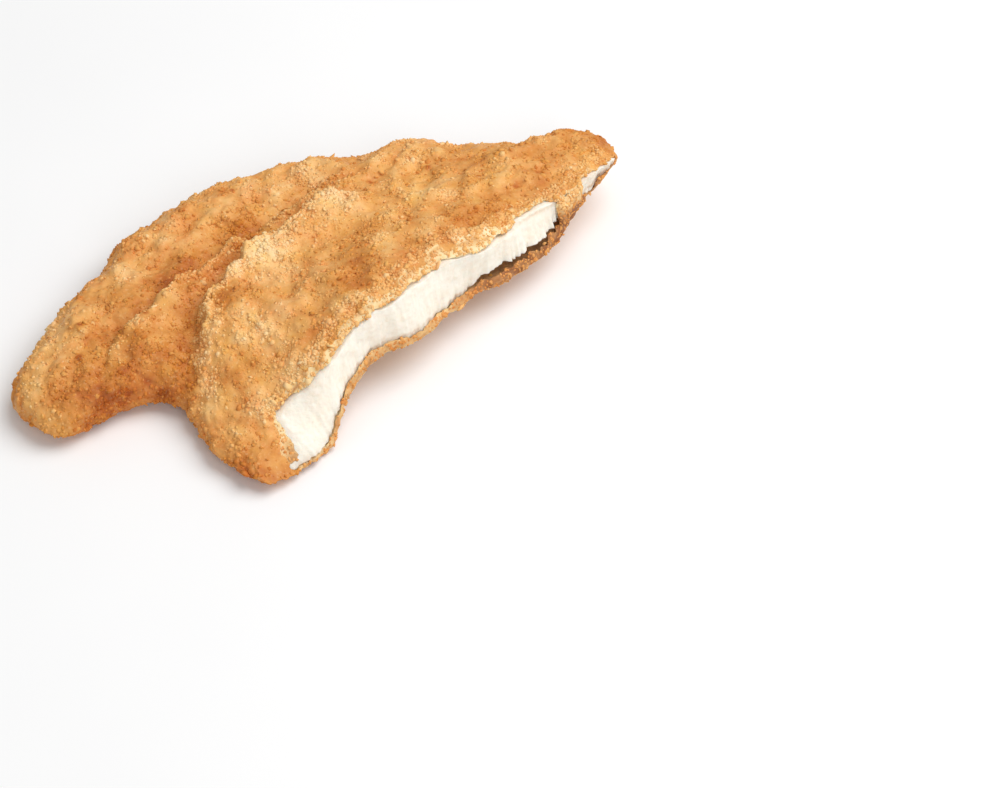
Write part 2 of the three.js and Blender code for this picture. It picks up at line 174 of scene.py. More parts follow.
def fold(f, x, y, sharp=1.0):
    d, p = fold_distance(f, x, y)
    a, b, c, e = f["fade"]
    ends = step(a, b, p) * (1 - (1 - f["left"]) * step(c, e, p))
    rise = f["rise"] * step(-2 * sharp, 2.5 * sharp, d) * np.exp(-np.power(np.maximum(d, 0) / f["before"], 1.5))
    drop = f["drop"] * (1 - step(-2.7 * sharp, 1.3 * sharp, d)) * np.exp(-np.power(np.maximum(-d, 0) / f["behind"], 1.5))
    return ends * (rise - drop)


def swell(b, x, y):
    c, s = math.cos(math.radians(b[4])), math.sin(math.radians(b[4]))
    u, v = (x - b[0]) * c + (y - b[1]) * s, -(x - b[0]) * s + (y - b[1]) * c
    return b[5] * np.exp(-np.square(u / b[2]) - np.square(v / b[3]))


def top_z(x, y):
    s, d = from_cut(x, y)
    z = BACK_TOP + (top_at(s) - BACK_TOP) * bell(np.maximum(d - 4, 0) / CROWN_REACH)
    for f in FOLDS:
        z = z + 1.25 * fold(f, x, y, 0.5)
    for b in SWELLS:
        z = z + swell(b, x, y)
    return z + waves(x, y)


def under_z(x, y):
    s, d = from_cut(x, y)
    return under_at(s) * bell(np.maximum(d, 0) / ARCH_REACH) + swell((-30, 5, 22, 20, 0, 0.9), x, y) - REST_TRIM + 0.8 * waves(x, y, 40, 17)


def tear(x, y):
    s, d = from_cut(x, y)
    return TEAR_GAP * step(0.5, 0.6, s) * (1 - step(0.83, 0.88, s)) * bell(np.maximum(d + 1, 0) / 7)


def crack(x, y):
    """How far the fillet's top has shrunk away from the batter, near the cut."""
    s, d = from_cut(x, y)
    return (0.9 * bell((s - 0.2) / 0.035) + 0.8 * bell((s - 0.37) / 0.03) + 0.6 * bell((s - 0.62) / 0.03)) * bell(np.maximum(d, 0) / 8)


def thinner(x, y):
    """The coating's share of its thickness: it is thin along the far part of the cut."""
    s, d = from_cut(x, y)
    return 1 - 0.34 * step(0.62, 0.7, s) * bell(np.maximum(d - 1, 0) / 7)


def closed_curve(points, n):
    """Closed centripetal Catmull-Rom curve through the points, n evenly spaced."""
    m, out = len(points), []
    for i in range(m):
        p0, p1, p2, p3 = (points[(i + k) % m] for k in (-1, 0, 1, 2))
        t1 = np.linalg.norm(p1 - p0) ** 0.5
        t2 = t1 + np.linalg.norm(p2 - p1) ** 0.5
        t3 = t2 + np.linalg.norm(p3 - p2) ** 0.5
        t = np.linspace(t1, t2, 48, endpoint=False)[:, None]
        a1 = (t1 - t) / t1 * p0 + t / t1 * p1
        a2 = (t2 - t) / (t2 - t1) * p1 + (t - t1) / (t2 - t1) * p2
        a3 = (t3 - t) / (t3 - t2) * p2 + (t - t2) / (t3 - t2) * p3
        b1 = (t2 - t) / t2 * a1 + t / t2 * a2
        b2 = (t3 - t) / (t3 - t1) * a2 + (t - t1) / (t3 - t1) * a3
        out.append((t2 - t) / (t2 - t1) * b1 + (t - t1) / (t2 - t1) * b2)
    q = np.concatenate(out)
    q = np.vstack([q, q[:1]])
    length = np.concatenate([[0], np.cumsum(np.linalg.norm(np.diff(q, axis=0), axis=1))])
    s = np.linspace(0, length[-1], n, endpoint=False)
    return np.stack([np.interp(s, length, q[:, k]) for k in range(3)], 1)


RIM_STEPS = 2880
RIM_CURVE = closed_curve(RIM, RIM_STEPS)
_t = np.roll(RIM_CURVE[:, :2], -1, 0) - np.roll(RIM_CURVE[:, :2], 1, 0)
_t /= np.hypot(_t[:, 0], _t[:, 1])[:, None]
RIM_IN = np.column_stack([_t[:, 1], -_t[:, 0]])


def vertex_normals(v, f):
    n = np.cross(v[f[:, 1]] - v[f[:, 0]], v[f[:, 2]] - v[f[:, 0]])
    out = np.stack([sum(np.bincount(f[:, k], n[:, c], len(v)) for k in range(3)) for c in range(3)], 1)
    return out / (np.linalg.norm(out, axis=1)[:, None] + 1e-12)


def pillow(m, inset, gap=False):
    """Closed pillow: a square grid of m x m cells wrapped to the rim, top and underside."""
    m += m % 2
    depth = inset
    ring = RIM_CURVE.copy()
    ring[:, :2] += RIM_IN * (inset * thinner(ring[:, 0], ring[:, 1]))[:, None]

    def at(t):
        x = (t % 1.0) * RIM_STEPS
        i = np.floor(x).astype(int)
        f = (x - i)[:, None]
        return ring[i % RIM_STEPS] * (1 - f) + ring[(i + 1) % RIM_STEPS] * f

    h = m // 2
    i, j = (a.ravel() for a in np.meshgrid(np.arange(m + 1) - h, np.arange(m + 1) - h, indexing="ij"))
    r_ = np.maximum(np.abs(i), np.abs(j))
    t = np.where((i == r_) & (j > -r_), j + r_, np.where((j == r_) & (i < r_), 3 * r_ - i, np.where((i == -r_) & (j < r_), 5 * r_ - j, 7 * r_ + i))).astype(float)
    p = at(t / np.maximum(8 * r_, 1))
    r = 1 - np.power(1 - r_ / h, 1.35)
    xy = CENTRE + (p[:, :2] - CENTRE) * r[:, None]
    x, y, zr = xy[:, 0], xy[:, 1], p[:, 2]
    inset = inset * thinner(x, y)
    low = np.maximum(under_z(x, y), 0) + inset + (tear(x, y) if gap else 0)
    roof = top_z(x, y) - inset
    if depth > 0:  # a true inner offset, so that the coating keeps its thickness on the folds' steep sides
        for a in np.arange(12) * math.pi / 6:
            for reach, drop in ((0.55, 0.84), (1.0, 0.25)):
                roof = np.minimum(roof, top_z(x + reach * inset * math.cos(a), y + reach * inset * math.sin(a)) - drop * inset)
    top = zr + (roof - (crack(x, y) if gap else 0) - zr) * np.sqrt(np.maximum(1 - r**5, 0))
    bot = np.maximum(zr + (low - zr) * np.power(np.maximum(1 - r**6, 0), 0.55) - REST_TRIM, inset)
    edge = r_ == h
    ids = np.arange(len(i))
    idb = np.where(edge, ids, np.cumsum(~edge) - 1 + len(i))
    v = np.vstack([np.column_stack([x, y, np.where(edge, zr, top)]), np.column_stack([x, y, bot])[~edge]])
    g = np.arange((m + 1) ** 2).reshape(m + 1, m + 1)
    a, b, c, d = (k.ravel() for k in (g[:-1, :-1], g[1:, :-1], g[1:, 1:], g[:-1, 1:]))
    ci = np.arange(m) - h + 0.5
    same = (ci[:, None] * ci[None, :] > 0).ravel()[:, None]
    f = np.vstack([np.where(same, np.stack([a, c, b], 1), np.stack([a, d, b], 1)), np.where(same, np.stack([a, d, c], 1), np.stack([b, d, c], 1))])
    return v, np.vstack([f, idb[f][:, ::-1]])


# ------------------------------------------------------------------ the cut's walls
mt_in, mt_up = rounded(MT_AT, MT_IN, 0.012), rounded(MT_AT, MT_UP, 0.012)
mu_in, mu_up = rounded(MU_AT, MU_IN, 0.012), rounded(MU_AT, MU_UP, 0.012)
k_by, e_by = rounded(K_AT, K_BY, 0.02), rounded(E_AT, E_BY, 0.02)


# ------------------------------------------------------------------ the crust's own relief
def crests(p):
    """1 along the tops of the two folds, 0 elsewhere."""
    out = 0.0
    for f, share in zip(FOLDS, (1.0, 0.7)):
        d, along = fold_distance(f, p[:, 0], p[:, 1])
        a, b, c, e = f["fade"]
        out = out + share * step(a, b, along) * (1 - step(c, e, along)) * bell((d - 1.8) / 3.0)
    return out * (p[:, 2] > 6)


def puffs(p):
    """Rounded bulges with creases between them, about -1..1: the crust's coarse relief."""
    swirl = p + 1.3 * np.column_stack([noise(p, 6.0, 7), noise(p, 6.0, 8), noise(p, 6.0, 9)])
    a = np.abs(noise(swirl, 8.5, 1)) * 2.6 - 0.65
    b = np.abs(noise(swirl, 4.6, 2)) * 2.6 - 0.65
    return 0.62 * a + 0.38 * b


def crust_relief(p, coarse=None):
    """How far the crumbed skin stands out from the macro form, mm."""
    coarse = puffs(p) if coarse is None else coarse
    crest = crests(p)
    lump = 0.6 + 0.5 * step(-0.3, 0.5, noise(p, 16.0, 6)) + 0.6 * crest
    fine = 0.4 * lump * (np.abs(noise(p, 2.5, 3)) * 2.4 - 0.6) + 0.16 * noise(p, 1.2, 5)
    out = np.clip(0.95 * lump * coarse + fine + 0.3 * crest, -1.3, 1.8) - 0.35
    s, d = from_cut(p[:, 0], p[:, 1])
    below = (p[:, 2] < mu_up(s) - 0.5) * bell(np.maximum(d - 3, 0) / 4.0) * step(0.06, 0.14, s)
    out = out * (1 - 0.7 * below) - 0.85 * below
    return np.maximum(out, -1.3 + 2.6 * (1 - thinner(p[:, 0], p[:, 1])))


def strand(s, size, seed):
    return noise(np.column_stack([s * CUT_LENGTH, 0 * s, 0 * s + 3.3]), size, seed)


def meat_rows(s, out=0.0):
    dt, zt, du, zu = mt_in(s) - out, mt_up(s), mu_in(s) - out, mu_up(s)
    dt = dt + 0.35 * strand(s, 3.1, 21) + 0.2 * strand(s, 1.3, 22) + 7.0 * (1 - step(-0.005, 0.03, s))
    du = du + 0.4 * strand(s, 2.6, 23) + 0.45 * strand(s, 1.0, 24) + 7.0 * (1 - step(-0.05, -0.02, s))
    torn = step(0.5, 0.6, s) * (1 - step(0.86, 0.9, s))
    du = du + torn * (1.1 * strand(s, 1.9, 25) + 0.9 * strand(s, 0.9, 26))
    return [(du, 0 * s - 3.0), (du, zu), ((du + dt) / 2, (zu + zt) / 2), (dt, zt), (dt, zt + 9.0)]


def coat_rows(s):
    dt, zt, du, zu = mt_in(s), mt_up(s), mu_in(s), mu_up(s)
    web = step(0.785, 0.8, s) * (1 - step(0.862, 0.885, s))
    back = np.maximum(k_by(s) + 1.3 * strand(s, 6.0, 31) + 0.8 * strand(s, 2.4, 32), 0.35) * (1 - 0.8 * web)
    reach = np.maximum(0.75 * e_by(s) + 0.6 * strand(s, 4.0, 33) + 0.4 * strand(s, 1.7, 34), 0.2)
    dt = dt + 0.35 * strand(s, 3.1, 21) + 0.45 + 0.3 * strand(s, 2.2, 35)
    return [(du - reach, 0 * s - 3.0), (du - reach, zu - 1.1), (du - reach * 0.6, zu - 0.4), (du + 0.6 - 2.3 * web, zu + 0.1), ((du + dt) / 2 + 0.4 - 1.9 * web, (zu + zt) / 2),
            (dt - 1.9 * web, zt), (dt + 0.5 * back - 0.6 * web, zt + 0.9), (dt + back, zt + 1.9), (dt + back, zt + 9.0)]


def wall(rows_of, n_s, n_u, relief):
    """The kept side of the cut as a closed block, its front a fine uneven wall."""
    s = np.concatenate([[-0.7, -0.45, -0.25], np.linspace(-0.13, 1.15, n_s - 5), [1.25, 1.4]])
    rows = rows_of(s)
    u = np.linspace(0, 1, n_u)
    ds, zs = np.array([r[0] for r in rows]), np.array([r[1] for r in rows])
    leg = np.sqrt(np.diff(ds, axis=0) ** 2 + np.diff(zs, axis=0) ** 2)
    run = np.vstack([np.zeros(n_s), np.cumsum(leg, axis=0)])
    run /= run[-1]
    d, z = np.empty((n_u, n_s)), np.empty((n_u, n_s))
    for k in range(n_s):
        d[:, k], z[:, k] = np.interp(u, run[:, k], ds[:, k]), np.interp(u, run[:, k], zs[:, k])
    sg = np.broadcast_to(s, d.shape)
    flat = np.column_stack([(sg * CUT_LENGTH).ravel(), d.ravel(), z.ravel()])
    d = d + relief(flat).reshape(d.shape)

    def place(dd):
        return np.stack([CUT_NEAR[0] + sg * CUT_LENGTH * CUT[0] + dd * INWARDS[0], CUT_NEAR[1] + sg * CUT_LENGTH * CUT[1] + dd * INWARDS[1], z], -1).reshape(-1, 3)

    front = place(d)
    # the block's back is a plain box, joined to the front by its border
    g = np.arange(n_u * n_s).reshape(n_u, n_s)
    a, b, c, e = (k.ravel() for k in (g[:-1, :-1], g[:-1, 1:], g[1:, 1:], g[1:, :-1]))
    f = [np.stack([a, b, c], 1), np.stack([a, c, e], 1)]
    border = np.concatenate([g[0, :], g[1:, -1], g[-1, -2::-1], g[-2:0:-1, 0]])
    sb = (front[border][:, :2] - CUT_NEAR) @ CUT
    zb = np.where(np.isin(border, g[0, :]), -8.0, np.where(np.isin(border, g[-1, :]), 40.0, front[border][:, 2]))
    mid_ring = len(front) + np.arange(len(border))
    # first straight out below and above, then to the back
    ring1 = front[border].copy()
    ring1[:, 2] = zb
    ring2 = np.column_stack([CUT_NEAR[0] + sb * CUT[0] + 150 * INWARDS[0], CUT_NEAR[1] + sb * CUT[1] + 150 * INWARDS[1], zb])
    nb = len(border)
    r1, r2 = mid_ring, mid_ring + nb
    nxt = np.roll(np.arange(nb), -1)
    f += [np.stack([border[nxt], border, r1], 1), np.stack([border[nxt], r1, r1[nxt]], 1)]
    f += [np.stack([r1[nxt], r1, r2], 1), np.stack([r1[nxt], r2, r2[nxt]], 1)]
    v = np.vstack([front, ring1, ring2, [[CUT_NEAR[0] + 55 * CUT[0] + 150 * INWARDS[0], CUT_NEAR[1] + 55 * CUT[1] + 150 * INWARDS[1], 16.0]]])
    last = len(v) - 1
    f += [np.stack([r2[nxt], r2, np.full(nb, last)], 1)]
    return v, np.vstack(f)


# ------------------------------------------------------------------ Blender meshes
def mesh_object(name, v_mm, faces, slots=None, attributes=None, smooth=True, place=True):
    me = bpy.data.meshes.new(name)
    v = (np.asarray(v_mm, float) + (PLACE if place else 0)) * MM
    faces = np.asarray(faces, np.int32)
    me.vertices.add(len(v))
    me.vertices.foreach_set("co", v.astype(np.float32).ravel())
    me.loops.add(len(faces) * 3)
    me.loops.foreach_set("vertex_index", faces.ravel())
    me.polygons.add(len(faces))
    me.polygons.foreach_set("loop_start", np.arange(0, len(faces) * 3, 3, dtype=np.int32))
    if slots is not None:
        me.polygons.foreach_set("material_index", np.asarray(slots, np.int32))
    me.polygons.foreach_set("use_smooth", np.full(len(faces), smooth))
    me.update(calc_edges=True)
    for k, values in (attributes or {}).items():
        me.attributes.new(k, "FLOAT", "POINT").data.foreach_set("value", np.asarray(values, np.float32))
    ob = bpy.data.objects.new(name, me)
    bpy.context.scene.collection.objects.link(ob)
    return ob


def arrays(ob):
    """An object's corners, triangles and slots, after which it is used up."""
    me = ob.data
    v = np.empty(len(me.vertices) * 3, np.float32)
    me.vertices.foreach_get("co", v)
    me.calc_loop_triangles()
    t = np.empty(len(me.loop_triangles) * 3, np.int32)
    me.loop_triangles.foreach_get("vertices", t)
    k = np.empty(len(me.loop_triangles), np.int32)
    me.loop_triangles.foreach_get("material_index", k)
    bpy.data.objects.remove(ob)
    bpy.data.meshes.remove(me)
    return v.reshape(-1, 3).astype(float) / MM - PLACE, t.reshape(-1, 3), k


def boolean(a, b, operation):
    """a OPERATION b as a new object; both are used up."""
    m = a.modifiers.new("cut", "BOOLEAN")
    m.object, m.operation, m.solver = b, operation, "MANIFOLD"
    bpy.context.view_layer.update()
    me = bpy.data.meshes.new_from_object(a.evaluated_get(bpy.context.evaluated_depsgraph_get()))
    out = bpy.data.objects.new(a.name + "_cut", me)
    bpy.context.scene.collection.objects.link(out)
    for o in (a, b):
        d = o.data
        bpy.data.objects.remove(o)
        bpy.data.meshes.remove(d)
    return out


def largest_part(v, f, k):
    """Keeps the biggest connected piece."""
    parent = np.arange(len(v))
    while True:  # label spreading over edges
        low = np.minimum(np.minimum(parent[f[:, 0]], parent[f[:, 1]]), parent[f[:, 2]])
        new = parent.copy()
        for c in range(3):
            np.minimum.at(new, f[:, c], low)
        new = new[new]
        if np.array_equal(new, parent):
            break
        parent = new
    lab = parent[f[:, 0]]
    names, counts = np.unique(lab, return_counts=True)
    keep = lab == names[np.argmax(counts)]
    f, k = f[keep], k[keep]
    used = np.unique(f)
    remap = np.full(len(v), -1)
    remap[used] = np.arange(len(used))
    return v[used], remap[f], k


def three_slots(ob, names):
    for n in names:
        ob.data.materials.append(bpy.data.materials.get(n) or bpy.data.materials.new(n))


SLOTS = ("crust", "torn_batter", "inner_batter", "fillet_meat")


def operand(name, v, f, slot):
    ob = mesh_object(name, v, f, slots=np.full(len(f), slot))
    three_slots(ob, SLOTS)
    return ob


# ------------------------------------------------------------------ build: coating
v, f = pillow(SKIN_GRID, 0.0)
nrm = vertex_normals(v, f)
v = v + nrm * crust_relief(v)[:, None]
v[:, 2] = np.maximum(v[:, 2], 0.0)
skin = operand("skin", v, f, 0)


def torn_relief(p):
    flaky = np.column_stack([p[:, 0] * 0.6, p[:, 1] * 1.6, p[:, 2] * 1.6])
    s, d = from_cut(p[:, 0], p[:, 1])
    # a wandering crack splits the wide band of batter into two layers
    crack_at = 0.5 + 0.16 * strand(s, 9.0, 44) + 0.08 * strand(s, 3.0, 45)
    split = bell(((d - mt_in(s)) / (k_by(s) + 0.4) - crack_at) / 0.13) * step(-0.25, 0.1, strand(s, 8.0, 46)) * step(1.5, 3.0, k_by(s)) * (p[:, 2] > mt_up(s) - 0.5)
    return 0.4 * noise(flaky, 2.6, 41) + 0.4 * np.abs(noise(p, 1.5, 42)) + 0.16 * noise(p, 0.7, 43) - 0.15 - 0.75 * split


def meat_relief(p):
    grain = np.column_stack([p[:, 0] * 1.0, p[:, 1], p[:, 2] * 0.55])
    return 0.45 * noise(p, 7.0, 51) + 0.32 * noise(grain, 1.9, 52) + 0.32 * np.abs(noise(grain, 0.9, 53))


N_S, N_U = ((430, 78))
coat_block = operand("coat_block", *wall(coat_rows, N_S, N_U, torn_relief), 1)
coat = boolean(skin, coat_block, "INTERSECT")
hollow = operand("hollow", *pillow(84, COAT), 2)
hollow_block = operand("hollow_block", *wall(lambda s: meat_rows(s, CLEAR), 240, 40, lambda p: 0.45 * noise(p, 7.0, 51)), 2)
hollow = boolean(hollow, hollow_block, "INTERSECT")
coat = boolean(coat, hollow, "DIFFERENCE")
cv, cf, ck = arrays(coat)
cv, cf, ck = largest_part(cv, cf, ck)
f_s, f_d = from_cut(*cv[cf][:, :, :2].mean(1).T)
f_c = cv[cf].mean(1)
ck[(ck == 1) & (f_s < -0.018 + 0.045 * step(3.0, 9.0, f_c[:, 2]) + 0.015 * noise(f_c, 3.0, 84))] = 0

# ------------------------------------------------------------------ build: fillet
v, f = pillow(96, COAT + CLEAR + 0.1, gap=True)
v = v + vertex_normals(v, f) * (0.12 * noise(v, 2.0, 61))[:, None]
meat = operand("meat_body", v, f, 3)
meat_block = operand("meat_block", *wall(meat_rows, N_S + 90, N_U, meat_relief), 3)
meat = boolean(meat, meat_block, "INTERSECT")
mv, mf, mk = largest_part(*arrays(meat))

# ------------------------------------------------------------------ browning with painted light and shade, one field for crust and crumbs
# (x, y, z, size, amount) in the model's own mm: + is browner, - is paler
BROWNED = [
    (-28, -19, 9, 8, 0.14), (-33, 5, 12, 6, 0.1), (-42, -28, 11, 9, 0.3), (-42, -14, 12, 7, 0.16), (-36, -19, 12, 6, 0.12), (-30, -23, 6, 6, 0.06),
    (-12, -47, 1, 6, 0.16), (-23, -38, 3, 5, 0.1), (64, 50, 13, 4, 0.2), (57, 54, 13, 4, 0.16), (-22, -8, 11, 6, 0.1), (-15, 17.6, 12, 6, 0.2),
    (-18, -4, 14, 4, 0.28), (2, -20, 18, 6, 0.12), (-15, -23, 14, 5, 0.14), (5, 38, 14, 5, 0.14), (36, 41, 15, 5, 0.15), (-9, -45, 8, 4, 0.12),
    (37, 19, 20, 8, 0.13), (8, -6, 20, 6, 0.12), (-19, 7, 12, 5, 0.08), (-30, 23, 14, 5, 0.06),
    (5, 25, 15, 5, -0.34), (-10, 8, 15, 6, -0.25), (-12, -16, 16, 6, -0.22), (-55, -12, 13, 6, -0.16), (-59, -26, 11, 5, -0.1), (-42, 8, 13, 7, -0.2),
    (-34, 14, 13, 5, -0.14), (23, 28, 18, 7, -0.12), (-4, -27, 13, 5, -0.2), (-22, -30, 10, 4, -0.16), (-3, 39, 13, 6, -0.24), (14, 9, 20, 5, -0.16),
    (59, 34, 16, 5, -0.1), (-53, -27, 9, 9, 0.07), (-42, -10, 12, 8, 0.06), (-35, 11, 12, 8, 0.06), (-13, 23.5, 15, 7, -0.05), (3, 34, 15, 6, 0.06),
    (26, 34, 17, 8, -0.03), (52, 38, 17, 9, 0.07), (-14, -38, 10, 7, -0.06), (1, -24, 15, 4, -0.06)]
# where it is less orange, in the same form
STRAW = [(-13, 23.5, 15, 9, -0.5), (26, 34, 17, 10, -0.4), (5, 19, 20, 6, -0.5), (-28, -21, 11, 7, -0.3)]
SPECKS = [(11, 36, 15, 1.3), (-49.6, -19.3, 9, 1.2), (-50, -10.8, 10, 1.1), (-36, -8, 11, 0.9), (24, 40, 15, 0.9), (-8, -34, 12, 0.9), (-20, 34, 13, 0.8), (44, 30, 19, 0.9)]


# the crust's tone: real browning and specks, plus painted light and shade that follow the relief
def browning_and_painted_shade(p):
    x, y, z = p.T
    b = 0.43 + 0.12 * noise(p, 24.0, 71) + 0.12 * noise(p, 10.0, 72) + 0.1 * noise(p, 4.6, 73) + 0.05 * noise(p, 2.3, 74)
    for cx, cy, cz, size, amount in BROWNED:
        b = b + amount * bell(np.sqrt((x - cx) ** 2 + (y - cy) ** 2 + 0.6 * (z - cz) ** 2) / size)
    for cx, cy, cz, size in SPECKS:
        b = b + 0.4 * bell(np.sqrt((x - cx) ** 2 + (y - cy) ** 2) / (0.7 * size)) * (z > cz - 6)
    # paler along each fold's crest; browner in the low strip behind each fold, a painted shade
    d1, p1 = fold_distance(FOLDS[0], x, y)
    d2, p2 = fold_distance(FOLDS[1], x, y)
    on = step(-40, -30, p1) * (1 - step(16, 34, p1)) * (z > 8)
    b = b - 0.17 * on * bell((d1 - 1.5) / 2.6) + 0.14 * on * bell((d1 + 3.5) / 3.0)
    on = step(-50, -41, p2) * (1 - step(20, 37, p2)) * (z > 8)
    b = b - 0.1 * on * bell((d2 - 1.5) / 2.4) + 0.08 * on * bell((d2 + 3.0) / 2.6)
    # paler on the bulges and browner in the creases between them, a painted light and shade; browner towards the floor
    return b - 0.14 * np.clip(puffs(p), -1.0, 1.2) + 0.1 * bell(z / 2.5) + 0.03 * bell((z - 4) / 3.0)


def reddening(p):
    """-1..1: where the crust is more orange (+) or more straw yellow (-)."""
    r = 0.9 * noise(p, 7.5, 75) + 0.55 * noise(p, 2.8, 76) + 0.35 * noise(p, 20.0, 77)
    for cx, cy, cz, size, amount in STRAW:
        r = r + amount * bell(np.sqrt((p[:, 0] - cx) ** 2 + (p[:, 1] - cy) ** 2 + 0.6 * (p[:, 2] - cz) ** 2) / size)
    return np.clip(r, -1, 1)


# ------------------------------------------------------------------ node materials
def linear(rgb):
    c = np.array(rgb) / 255.0
    return tuple(np.where(c <= 0.04045, c / 12.92, ((c + 0.055) / 1.055) ** 2.4)) + (1.0,)


class Nodes:
    """A short way to write a node material."""

    def __init__(self, name):
        self.mat = bpy.data.materials.get(name) or bpy.data.materials.new(name)
        self.mat.use_nodes = True
        self.t = self.mat.node_tree
        self.t.nodes.clear()
        self.out = self.t.nodes.new("ShaderNodeOutputMaterial")
        self.bsdf = self.t.nodes.new("ShaderNodeBsdfPrincipled")
        self.t.links.new(self.bsdf.outputs["BSDF"], self.out.inputs["Surface"])
        self.coord = self.t.nodes.new("ShaderNodeTexCoord").outputs["Object"]

    def link(self, a, b):
        self.t.links.new(a, b)

    def set(self, **values):
        for k, v in values.items():
            self.bsdf.inputs[k.replace("_", " ")].default_value = v

    def attribute(self, name):
        n = self.t.nodes.new("ShaderNodeAttribute")
        n.attribute_name = name
        return n.outputs["Fac"]

    def noise(self, size_mm, detail=2.0, rough=0.55, stretch=None, offset=0.0):
        n = self.t.nodes.new("ShaderNodeTexNoise")
        n.inputs["Scale"].default_value = 1000.0 / size_mm
        n.inputs["Detail"].default_value = detail
        n.inputs["Roughness"].default_value = rough
        m = self.t.nodes.new("ShaderNodeMapping")
        m.inputs["Location"].default_value = (offset, offset * 0.7, -offset * 1.3)
        if stretch:
            m.inputs["Rotation"].default_value, m.inputs["Scale"].default_value = stretch
        self.link(self.coord, m.inputs["Vector"])
        self.link(m.outputs["Vector"], n.inputs["Vector"])
        return n.outputs["Fac"]

    def cells(self, size_mm):
        n = self.t.nodes.new("ShaderNodeTexVoronoi")
        n.inputs["Scale"].default_value = 1000.0 / size_mm
        self.link(self.coord, n.inputs["Vector"])
        return n.outputs["Distance"]

    def math(self, op, a, b=None, c=None, clamp=False):
        n = self.t.nodes.new("ShaderNodeMath")
        n.operation, n.use_clamp = op, clamp
        for k, v in enumerate((a, b, c)):
            if v is None:
                continue
            if isinstance(v, (int, float)):
                n.inputs[k].default_value = v
            else:
                self.link(v, n.inputs[k])
        return n.outputs["Value"]

    def add(self, base, *pairs):
        """base + sum of (value - 0.5) * amount"""
        for v, amount in pairs:
            base = self.math("ADD", base, self.math("MULTIPLY", self.math("SUBTRACT", v, 0.5), amount))
        return base

    def ramp(self, fac, stops):
        n = self.t.nodes.new("ShaderNodeValToRGB")
        e = n.color_ramp.elements
        while len(e) < len(stops):
            e.new(0.5)
        for k, (at, rgb) in enumerate(stops):
            e[k].position = at
            e[k].color = linear(rgb)
        self.link(fac, n.inputs["Fac"])
        return n.outputs["Color"]

    def mix(self, fac, a, b, blend="MIX"):
        n = self.t.nodes.new("ShaderNodeMix")
        n.data_type, n.blend_type = "RGBA", blend
        n.clamp_factor = True
        for k, v in ((0, fac), (6, a), (7, b)):
            if isinstance(v, (int, float)):
                n.inputs[k].default_value = v
            elif isinstance(v, tuple):
                n.inputs[k].default_value = v
            else:
                self.link(v, n.inputs[k])
        return n.outputs[2]

    def spread(self, v, lo, hi, to_lo=0.0, to_hi=1.0):
        n = self.t.nodes.new("ShaderNodeMapRange")
        for k, x in zip(("From Min", "From Max", "To Min", "To Max"), (lo, hi, to_lo, to_hi)):
            n.inputs[k].default_value = x
        self.link(v, n.inputs["Value"])
        return n.outputs["Result"]

    def bump(self, layers):
        normal = None
        for height, depth_mm, strength in layers:
            n = self.t.nodes.new("ShaderNodeBump")
            n.inputs["Distance"].default_value = depth_mm * MM
            n.inputs["Strength"].default_value = strength
            self.link(height, n.inputs["Height"])
            if normal is not None:
                self.link(normal, n.inputs["Normal"])
            normal = n.outputs["Normal"]
        self.link(normal, self.bsdf.inputs["Normal"])


GOLD = [(0.0, (250, 222, 174)), (0.2, (244, 200, 138)), (0.42, (230, 170, 98)), (0.6, (210, 138, 66)), (0.78, (182, 100, 42)), (1.0, (116, 56, 24))]


def crust_material(name, ramp, roughness=0.55, skin=True):
    m = Nodes(name)
    fine, mid = m.noise(0.8, 3.0, 0.6), m.noise(2.4, 3.0, 0.55, offset=0.31)
    colour = m.ramp(m.add(m.attribute("tone"), (fine, 0.13), (mid, 0.27)), ramp)
    red = m.add(m.attribute("red"), (m.noise(1.7, 2.0, 0.5, offset=0.63), 1.2))
    colour = m.mix(m.spread(red, 0.5, 1.1, 0.0, 0.5), colour, m.mix(1.0, colour, linear((250, 200, 172)), "MULTIPLY"))
    colour = m.mix(m.spread(red, 0.5, -0.1, 0.0, 0.8), colour, m.mix(1.0, colour, linear((255, 250, 214)), "MULTIPLY"))
    # pale cream flecks at grain size: painted highlights for the grains' glints
    glint_flecks = m.noise(0.6, 1.0, 0.5, offset=0.77)
    colour = m.mix(m.spread(glint_flecks, 0.6, 0.74, 0.0, 0.18), colour, linear((250, 220, 168)))
    if skin:
        # dark brown pits: painted shade in the crust's small holes
        colour = m.mix(m.spread(m.noise(1.3, 1.0, 0.5, offset=1.9), 0.28, 0.34, 0.2, 0.0), colour, linear((168, 96, 44)))
    m.link(colour, m.bsdf.inputs["Base Color"])
    m.link(m.spread(m.noise(3.4, 2.0, offset=0.5), 0.35, 0.65, roughness - 0.1, roughness + 0.14), m.bsdf.inputs["Roughness"])
    m.bump([(mid, 0.5, 0.35), (fine, 0.25, 0.5), (m.noise(0.35, 2.0), 0.1, 0.4)] if skin else [(m.noise(0.3, 1.0), 0.05, 0.3)])
    m.set(Specular_IOR_Level=0.26 if skin else 0.02)
    return m.mat


def batter_material(name, ramp, roughness=0.62):
    m = Nodes(name)
    fine, mid, big = m.noise(0.8, 3.0, 0.6), m.noise(2.2, 2.0, offset=0.2), m.noise(6.5, 2.0, offset=0.9)
    t = m.add(m.attribute("tone"), (fine, 0.3), (mid, 0.3), (big, 0.25))
    m.link(m.ramp(t, ramp), m.bsdf.inputs["Base Color"])
    m.link(m.spread(mid, 0.3, 0.7, roughness - 0.12, roughness + 0.12), m.bsdf.inputs["Roughness"])
    m.bump([(mid, 0.4, 0.4), (fine, 0.25, 0.6)])
    m.set(Specular_IOR_Level=0.4, Subsurface_Weight=0.2, Subsurface_Scale=0.002, Subsurface_Radius=(1.0, 0.7, 0.4))
    return m.mat


